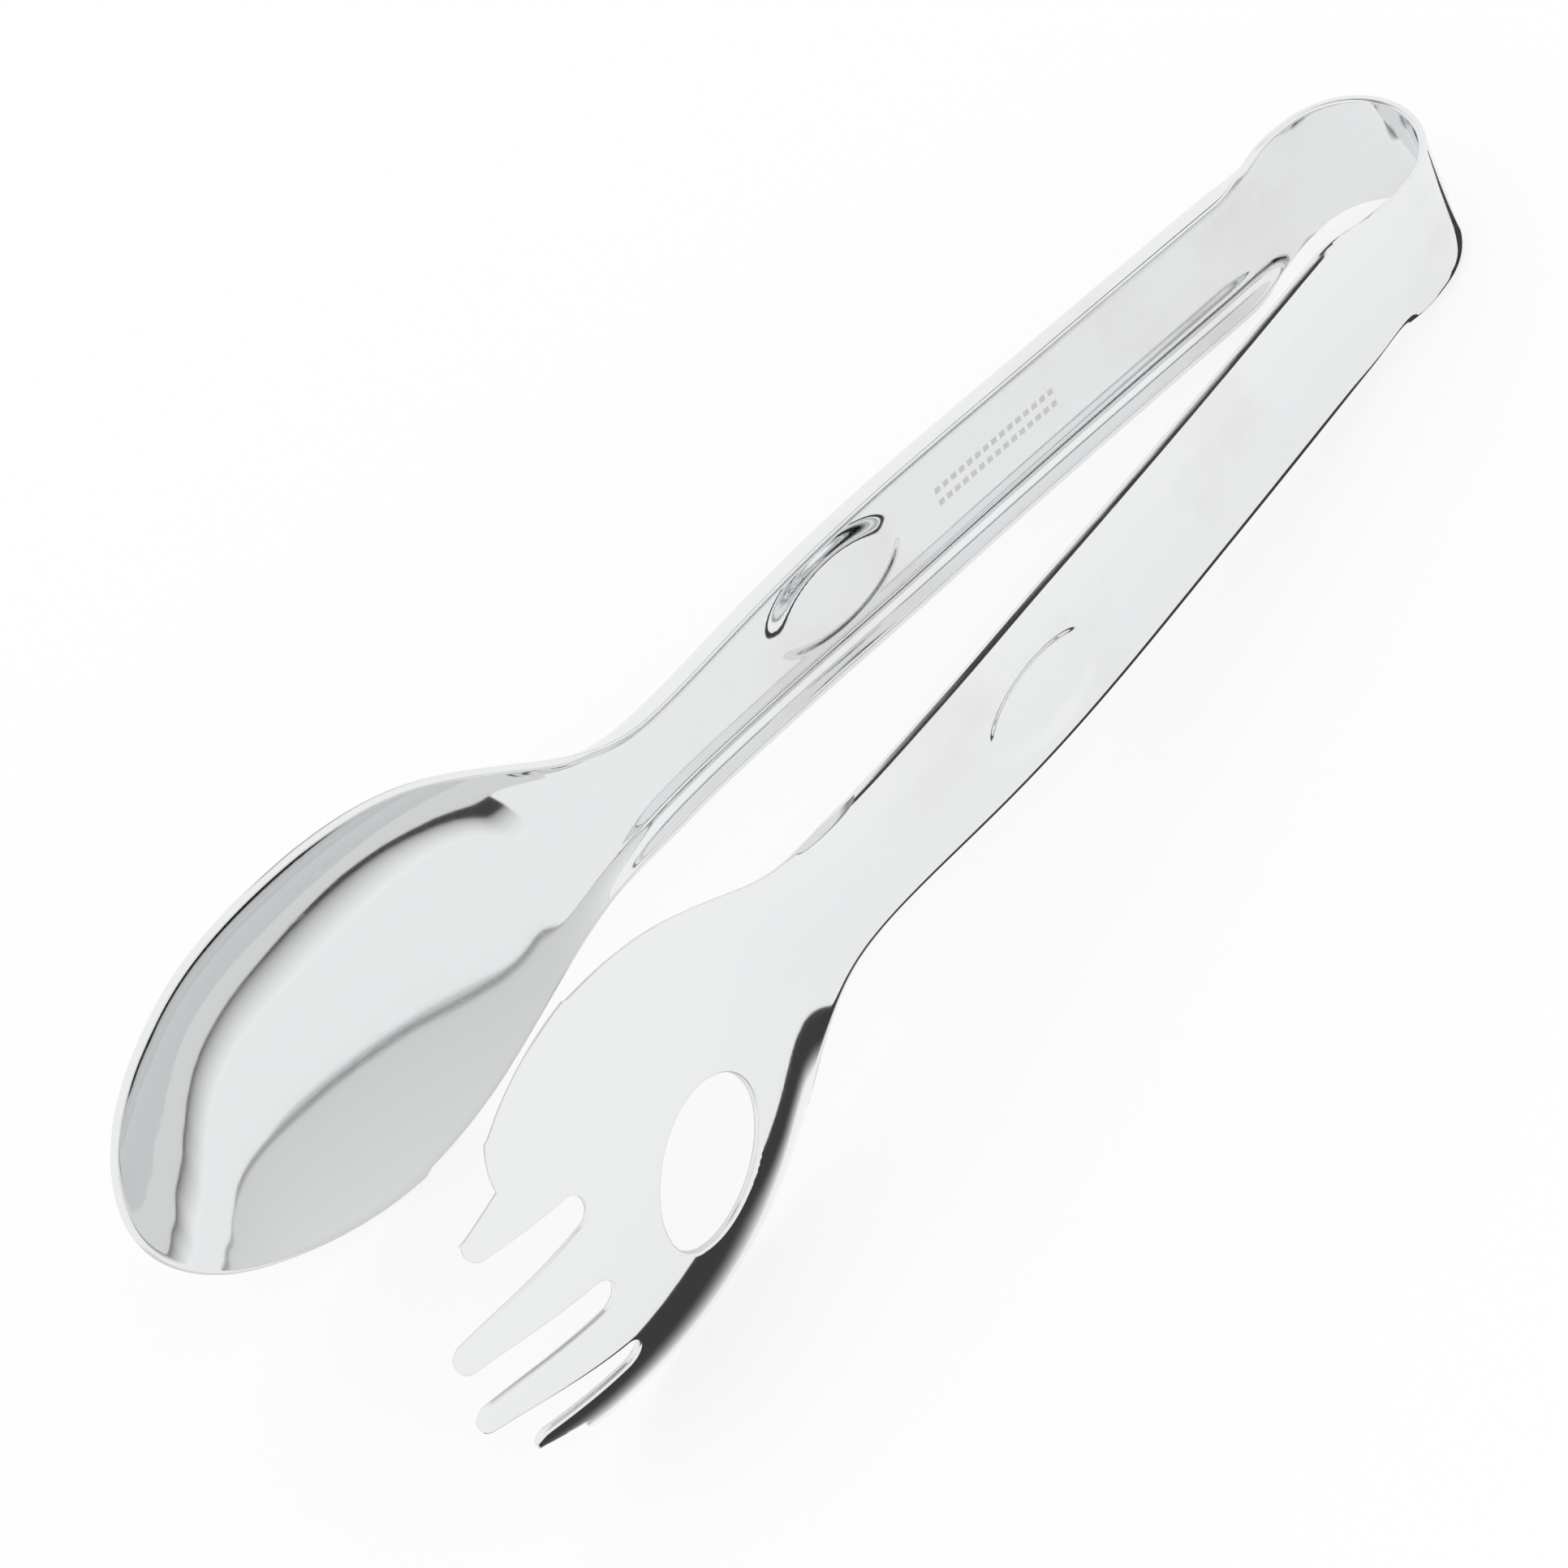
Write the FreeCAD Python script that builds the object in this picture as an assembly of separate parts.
import FreeCAD, Part
import math
import os

# One strip of polished steel sheet, bent into a bow and pressed into a spoon and a fork.
# Design axes: "run" goes from the bow to the tips, "side" from the middle plane to an arm
# and "across" over the width of the strip. The last step lays the tongs down on their edges.

# ---- overall sizes, mm ----
overall_length = 231.4       # middle of the sheet, crown of the bow to the tip of the spoon
sheet = 1.2
bow_radius = 11.3            # middle of the sheet
bow_turn = 84.0              # degrees that each half of the bow turns through
hinge_turn = 45.0            # where each arm starts to flex
flex_gap = 0.16              # seam between the bow and an arm that moves

# ---- heads: their runs are counted from where the channel starts to fade ----
head_length = 97.4
head_zero = overall_length - head_length
head_start = head_zero + 8.0
channel_fade_end = head_zero + 26.0
widest_run = head_zero + 56.0
head_half_width = 33.1
rim_steepening = 0.3

# ---- handle channel ----
flange_depth = 4.5           # outside of the web to the free edge
corner_radius = 2.6          # middle of the sheet
flange_start = 12.0
flange_full = 27.0
handle_start = 30.0

# ---- thumb dimples ----
dimple_run = head_zero - 35.5
dimple_half_length = 13.3
dimple_half_width = 7.8
dimple_depth = 0.9
dimple_floor = 0.70          # share of the dimple that is flat floor

# ---- fork ----
window_run = head_zero + 50.5
window_radius = 12.0
slot_spacing = 14.1          # from the middle slot to an outer slot
slot_radius = 2.4
middle_slot_extra = 0.3      # the middle slot is wider than the outer ones by this on each side
outer_slot_end = head_zero + 71.7
middle_slot_end = head_zero + 73.3
notch_run = head_zero + 80.7
outer_tine_across = slot_spacing + 4.6
notch_across = outer_tine_across + 4.3
outer_tine_tip = head_zero + 89.6
outer_tip_radius = 1.8
inner_tine_across = slot_spacing / 2 - 1.15
inner_tine_tip = head_zero + 98.3
inner_tip_radius = 2.4
fork_corner_run = head_zero + 75.5
shoulder_run = 1.4           # how far the round shoulder stands back from the notch
shoulder_across = 3.6
blank_taper_run = head_zero + 74.0       # past here the fork blank only narrows gently
blank_taper = 0.45           # lost from its half width per mm of run
blank_spare = 1.0            # blank left past the tine tips, cut away later

# ---- grid of the pressed surfaces ----
coarse_step = 3.0
fine_step = 1.5
columns_each_side = 17
tip_row_count = 22
tip_nose = 0.05              # stretch left off the very tip of the spoon, where its width ends
probe = 0.01                 # step for measuring slopes
reach_step = 0.25            # step for measuring the resting edges
spoon_tip_margin = 6.0       # stretch by the spoon's tip that never touches the floor
halvings = 60

bow_end_run = bow_radius * (1 - math.cos(math.radians(bow_turn)))
bow_end_side = bow_radius * math.sin(math.radians(bow_turn))
bow_end_path = bow_radius * math.radians(bow_turn)
hinge_path = bow_radius * math.radians(hinge_turn)

# middle line of the handle: run, and side out from the end of the bow
handle_line = [(bow_end_run, 0.0), (30, 2.16), (60, 5.26), (90, 7.96), (110, 9.16)]

# middle line of the heads: run from head_zero, and side out from the end of the bow
throat_line = [
    (-6, 9.46), (4, 9.56), (12, 10.36), (20, 12.96), (28, 16.76), (38, 21.36), (51, 25.06),
    (62, 26.76), (71, 27.26),
]
spoon_tip_line = [(79, 26.26), (85, 24.46), (91, 21.86), (head_length, 18.76)]
fork_tip_line = [
    (notch_run - head_zero, 26.66), (88.7, 24.96),
    (inner_tine_tip + blank_spare - head_zero, 22.96),
]

# half width of the handle by run, and of the head by run from head_zero as a share of its widest
handle_width = [(0, 9.7), (16, 10.4), (24, 10.9), (34, 11.0), (60, 11.3), (92, 11.8), (115, 11.0)]
neck_width = [(-4, 10.3), (6, 10.7)]
head_width = [(12, 0.381), (18, 0.489), (26, 0.662), (36, 0.852), (46, 0.961), (56, 1.0)]

# how hard the sheet curves across a head, per mm, by run from head_zero
head_curve = [(0, 0.0100), (16, 0.0087), (38, 0.0098), (73, 0.0113), (98, 0.0115)]


def value_at(table, run):
    """Smooth value from a short table, without overshoot between its points."""
    last = len(table) - 1
    if run <= table[0][0]:
        return table[0][1]
    if run >= table[last][0]:
        return table[last][1]
    i = 0
    while table[i + 1][0] < run:
        i += 1

    def rise(j):
        return (table[j + 1][1] - table[j][1]) / (table[j + 1][0] - table[j][0])

    def slope(j):
        if j == 0:
            return rise(0)
        if j == last:
            return rise(last - 1)
        before = rise(j - 1)
        after = rise(j)
        if before * after <= 0:
            return 0.0
        return 2 * before * after / (before + after)

    width = table[i + 1][0] - table[i][0]
    u = (run - table[i][0]) / width
    start = (1 + 2 * u) * (1 - u) ** 2 * table[i][1] + u * (1 - u) ** 2 * slope(i) * width
    end = u * u * (3 - 2 * u) * table[i + 1][1] + u * u * (u - 1) * slope(i + 1) * width
    return start + end


def arm_line(tip_line):
    line = [(run, bow_end_side + side) for run, side in handle_line]
    line += [(head_zero + run, bow_end_side + side) for run, side in throat_line + tip_line]
    return line


def strip_width():
    table = handle_width + [(head_zero + run, half) for run, half in neck_width]
    return table + [(head_zero + run, share * head_half_width) for run, share in head_width]


spoon_line = arm_line(spoon_tip_line)
fork_line = arm_line(fork_tip_line)
half_widths = strip_width()


def ease(start, end, value):
    u = min(1.0, max(0.0, (value - start) / (end - start)))
    return u * u * (3 - 2 * u)


def oval_half_width(run):
    u = (run - widest_run) / (overall_length - widest_run)
    return head_half_width * math.sqrt(max(0.0, 1 - u * u))


def half_width(arm, run):
    if run <= widest_run:
        return value_at(half_widths, run)
    if arm == "spoon":
        return oval_half_width(run)
    return oval_half_width(min(run, blank_taper_run)) - blank_taper * max(0.0, run - blank_taper_run)


def channel_point(share, half):
    """Point of the folded channel: a flat web, a round corner and a flange."""
    edge = half - sheet / 2
    flat = edge - corner_radius
    corner = corner_radius * math.pi / 2
    flange = flange_depth - sheet / 2 - corner_radius
    along = share * (flat + corner + flange)
    if along < flat:
        return along, 0.0
    if along < flat + corner:
        turn = (along - flat) / corner_radius
        return flat + corner_radius * math.sin(turn), corner_radius * (1 - math.cos(turn))
    return edge, corner_radius + along - flat - corner


def section_point(arm, run, v):
    """Across and depth of the sheet's middle at v, which goes from -1 to 1 over the strip."""
    half = half_width(arm, run)
    share = abs(v)
    channel_across, channel_depth = channel_point(share, half)
    head_across = half * share
    rim_depth = value_at(head_curve, run - head_zero) * half * half
    head_depth = rim_depth * share ** 2 * (1 + rim_steepening * share ** 2) / (1 + rim_steepening)
    folded = ease(flange_start, flange_full, run)
    head = ease(head_zero, channel_fade_end, run)
    across = (1 - folded) * half * share
    across += folded * ((1 - head) * channel_across + head * head_across)
    depth = folded * ((1 - head) * channel_depth + head * head_depth)
    return math.copysign(across, v), depth


def dimple(run, across):
    reach = math.hypot((run - dimple_run) / dimple_half_length, across / dimple_half_width)
    return dimple_depth * (1 - ease(dimple_floor, 1.0, reach))


def middle_point(arm, path, v):
    """Middle of the sheet at a distance along the strip and at v across it."""
    if path < bow_end_path:
        turn = path / bow_radius
        run = bow_radius * (1 - math.cos(turn))
        return FreeCAD.Vector(run, bow_radius * math.sin(turn), half_width(arm, run) * v)
    run = bow_end_run + path - bow_end_path
    across, depth = section_point(arm, run, v)
    line = spoon_line if arm == "spoon" else fork_line
    return FreeCAD.Vector(run, value_at(line, run) - depth - dimple(run, across), across)


def sheet_points(arm, path, v):
    """The two faces of the sheet, half a thickness either side of its middle."""
    middle = middle_point(arm, path, v)
    low = max(-1.0, v - probe)
    high = min(1.0, v + probe)
    along = middle_point(arm, path + probe, v) - middle_point(arm, path - probe, v)
    over = middle_point(arm, path, high) - middle_point(arm, path, low)
    normal = along.cross(over)
    normal.normalize()
    if normal.y > 0 or (path < hinge_path and normal.x > 0):
        normal = normal * -1
    offset = normal * (sheet / 2)
    return middle - offset, middle + offset


def strip_solid(arm, paths):
    """Solid sheet through rows of points, closed along both edges and both ends."""
    sides = range(-columns_each_side, columns_each_side + 1)
    outer = []
    inner = []
    for path in paths:
        pairs = [sheet_points(arm, path, side / columns_each_side) for side in sides]
        outer.append([pair[0] for pair in pairs])
        inner.append([pair[1] for pair in pairs])
    faces = []
    skins = []
    for grid in (outer, inner):
        surface = Part.BSplineSurface()
        surface.interpolate(grid)
        skins.append(surface)
        faces.append(surface.toShape())
    for direction in ("u", "v"):
        for end in (0, 1):
            edges = []
            for surface in skins:
                u0, u1, v0, v1 = surface.bounds()
                if direction == "u":
                    curve = surface.uIso((u0, u1)[end])
                else:
                    curve = surface.vIso((v0, v1)[end])
                edges.append(curve.toShape())
            faces.append(Part.makeRuledSurface(edges[0], edges[1]))
    shell = Part.makeShell(faces)
    shell.sewShape()
    solid = Part.makeSolid(shell)
    if solid.Volume < 0:
        solid.reverse()
    return solid


def even_rows(start, end, step):
    count = max(2, int(math.ceil((end - start) / step)))
    return [start + (end - start) * i / count for i in range(count + 1)]


def path_of(run):
    return bow_end_path + run - bow_end_run


def bow_half_width():
    return half_width("spoon", bow_radius * (1 - math.cos(math.radians(hinge_turn))))


def bow_solid():
    """The middle of the bow, a bent flat strip of even width between the two flexing lines."""
    half = bow_half_width()
    turn = hinge_turn - math.degrees(flex_gap / bow_radius)
    centre = FreeCAD.Vector(bow_radius, 0, -half)
    start = FreeCAD.Vector(bow_radius - bow_radius * math.cos(math.radians(turn)),
                           -bow_radius * math.sin(math.radians(turn)), 0)
    inward = FreeCAD.Vector(bow_radius, 0, 0) - start
    inward.normalize()
    low = start - inward * (sheet / 2)
    high = start + inward * (sheet / 2)
    corners = [FreeCAD.Vector(p.x, p.y, z) for p, z in
               ((low, -half), (high, -half), (high, half), (low, half), (low, -half))]
    face = Part.Face(Part.makePolygon(corners))
    return face.revolve(centre, FreeCAD.Vector(0, 0, -1), 2 * turn)


def tip_rows():
    """Rows that crowd together towards the round tip of the spoon."""
    reach = overall_length - widest_run
    last = math.acos(tip_nose / reach)
    steps = range(1, tip_row_count + 1)
    return [widest_run + reach * math.sin(last * i / tip_row_count) for i in steps]


def tine_edge(tip_run, middle, radius, turn):
    angle = math.radians(turn)
    return tip_run - radius + radius * math.cos(angle), middle + radius * math.sin(angle)


def fork_outline():
    """Cutter outline of the fork blank in run and across, for one half from the middle out."""
    middle_half = slot_radius + middle_slot_extra
    bend = math.sqrt(0.5)
    round_end = (middle_slot_end + middle_half * (1 - bend), middle_half * bend)
    slot_mouth = outer_slot_end + slot_radius
    spots = [("start", (middle_slot_end, 0))]
    spots.append(("arc", round_end, (middle_slot_end + middle_half, middle_half)))
    for tip, middle, radius in ((inner_tine_tip, inner_tine_across, inner_tip_radius),
                                (outer_tine_tip, outer_tine_across, outer_tip_radius)):
        spots.append(("line", tine_edge(tip, middle, radius, -90)))
        spots.append(("arc", tine_edge(tip, middle, radius, 0), tine_edge(tip, middle, radius, 90)))
        if middle == inner_tine_across:
            spots.append(("line", (slot_mouth, slot_spacing - slot_radius)))
            spots.append(("arc", (outer_slot_end, slot_spacing),
                          (slot_mouth, slot_spacing + slot_radius)))
    spots.append(("line", (notch_run, notch_across)))
    spots.append(("arc", (notch_run - shoulder_run, notch_across + shoulder_across),
                  (fork_corner_run, oval_half_width(fork_corner_run) + sheet)))
    return spots


def prism_from(spots, clear):
    """Closed prism along the side direction: the half outline, its mirror and a wide box."""
    edges = []

    def point(spot, sign):
        return FreeCAD.Vector(spot[0], -clear, sign * spot[1])

    for sign in (1, -1):
        at = point(spots[0][1], sign)
        for spot in spots[1:]:
            end = point(spot[-1], sign)
            if spot[0] == "line":
                edges.append(Part.makeLine(at, end))
            else:
                edges.append(Part.Arc(at, point(spot[1], sign), end).toShape())
            at = end
        wide = point((at.x, 2 * head_half_width), sign)
        far = point((head_start - clear, 2 * head_half_width), sign)
        edges.append(Part.makeLine(at, wide))
        edges.append(Part.makeLine(wide, far))
        edges.append(Part.makeLine(far, point((head_start - clear, 0), sign)))
    wire = Part.Wire(Part.__sortEdges__(edges))
    return Part.Face(wire).extrude(FreeCAD.Vector(0, 4 * clear, 0))


def cut_fork(blank):
    clear = 2 * bow_radius
    trimmed = blank.common(prism_from(fork_outline(), clear))
    window = Part.makeCylinder(window_radius, 4 * clear,
                               FreeCAD.Vector(window_run, -clear, 0), FreeCAD.Vector(0, 1, 0))
    cut = trimmed.cut(window)
    return max(cut.Solids, key=lambda solid: solid.Volume)


def flip(shape):
    return shape.mirror(FreeCAD.Vector(0, 0, 0), FreeCAD.Vector(0, 1, 0))


def build_strip():
    pieces = {"spring_bow": bow_solid()}
    leg_rows = even_rows(hinge_path, bow_end_path, fine_step / 2)
    leg_rows += even_rows(bow_end_path, path_of(handle_start), fine_step)[1:]
    dimple_start = dimple_run - dimple_half_length - fine_step
    dimple_end = dimple_run + dimple_half_length + fine_step
    handle_rows = even_rows(handle_start, dimple_start, coarse_step)
    handle_rows += even_rows(dimple_start, dimple_end, fine_step)[1:]
    handle_rows += even_rows(dimple_end, head_start, coarse_step)[1:]
    throat_rows = even_rows(head_start, widest_run, fine_step)
    blank_end = inner_tine_tip + blank_spare
    fork_rows = throat_rows + even_rows(widest_run, blank_end, coarse_step)[1:]
    spoon_rows = throat_rows + tip_rows()
    for arm in ("spoon", "fork"):
        head_rows = spoon_rows if arm == "spoon" else fork_rows
        leg = strip_solid(arm, leg_rows)
        handle = strip_solid(arm, [path_of(run) for run in handle_rows])
        head = strip_solid(arm, [path_of(run) for run in head_rows])
        if arm == "fork":
            head = cut_fork(head)
        head_name = "spoon_bowl" if arm == "spoon" else "fork_head"
        for name, shape in ((arm + "_leg", leg), (arm + "_handle", handle), (head_name, head)):
            pieces[name] = flip(shape) if arm == "fork" else shape
    return pieces


def lower_reach(start, end):
    """Edge points of the strip over a stretch of the run: run, and reach away from the middle."""
    spots = []
    run = start
    while run < end:
        for point in sheet_points("spoon", path_of(run), 1.0):
            spots.append((point.x, point.z))
        run += reach_step
    return spots


def resting_angle():
    """Angle at which the bow and the widest part of the heads touch one flat surface."""
    bow_spots = lower_reach(bow_end_run + probe, flange_full)
    bow_spots.append((-sheet / 2, bow_half_width()))
    head_spots = lower_reach(channel_fade_end, overall_length - spoon_tip_margin)
    low, high = 0.0, 1.0
    for _ in range(halvings):
        slope = (low + high) / 2
        head = max(reach - slope * run for run, reach in head_spots)
        bow = max(reach - slope * run for run, reach in bow_spots)
        if head > bow:
            low = slope
        else:
            high = slope
    return math.degrees(math.atan(low))


def lay_down(pieces):
    """Bow towards +X, spoon towards +Y, lower edges on the floor, box centre on the Z axis."""
    tilt = resting_angle()
    origin = FreeCAD.Vector(0, 0, 0)
    placed = {}
    for name, shape in pieces.items():
        turned = shape.mirror(origin, FreeCAD.Vector(1, 0, 0))
        turned.rotate(origin, FreeCAD.Vector(0, 1, 0), tilt)
        placed[name] = turned
    box = FreeCAD.BoundBox()
    for shape in placed.values():
        box.add(shape.optimalBoundingBox(False, False))
    shift = FreeCAD.Vector(-box.Center.x, -box.Center.y, -box.ZMin)
    for shape in placed.values():
        shape.translate(shift)
    return placed, tilt, shift


def main():
    os.makedirs("parts", exist_ok=True)
    placed, tilt, shift = lay_down(build_strip())
    for name, shape in placed.items():
        shape.exportStep(os.path.join("parts", name + ".step"))
        print(name, "valid", shape.isValid(), "solids", len(shape.Solids),
              "volume", round(shape.Volume, 1))
    print("tilt", round(tilt, 4), "shift", tuple(round(v, 4) for v in shift))


main()
